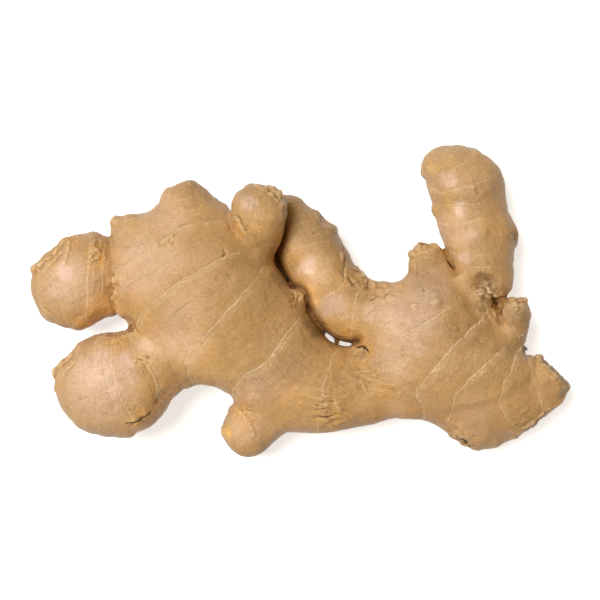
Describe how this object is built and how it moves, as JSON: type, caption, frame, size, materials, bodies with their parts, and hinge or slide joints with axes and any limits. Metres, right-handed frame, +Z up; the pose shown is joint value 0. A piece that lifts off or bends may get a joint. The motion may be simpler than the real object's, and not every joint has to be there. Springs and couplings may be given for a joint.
{
  "type": "ginger root",
  "caption": "Fresh ginger rhizome of round lobes, buds and fingers grown together in one flat branching hand, with pale brown ringed skin.",
  "frame": {"origin": "middle of the bounding box in X and Y, on the surface that the root rests on", "axes": "+X along the root, from its two round lobes to its broken pointed end; +Y towards the tip of the long bent finger; +Z up from the table"},
  "size_m": [0.1572, 0.0912, 0.0318],
  "materials": {
    "ginger_skin": "satin, thin dry skin with pale growth rings, ochre scale rags and fine pits"
  },
  "bodies": {
    "root": {"ginger_rhizome": "ginger_skin"}
  },
  "joints": []
}
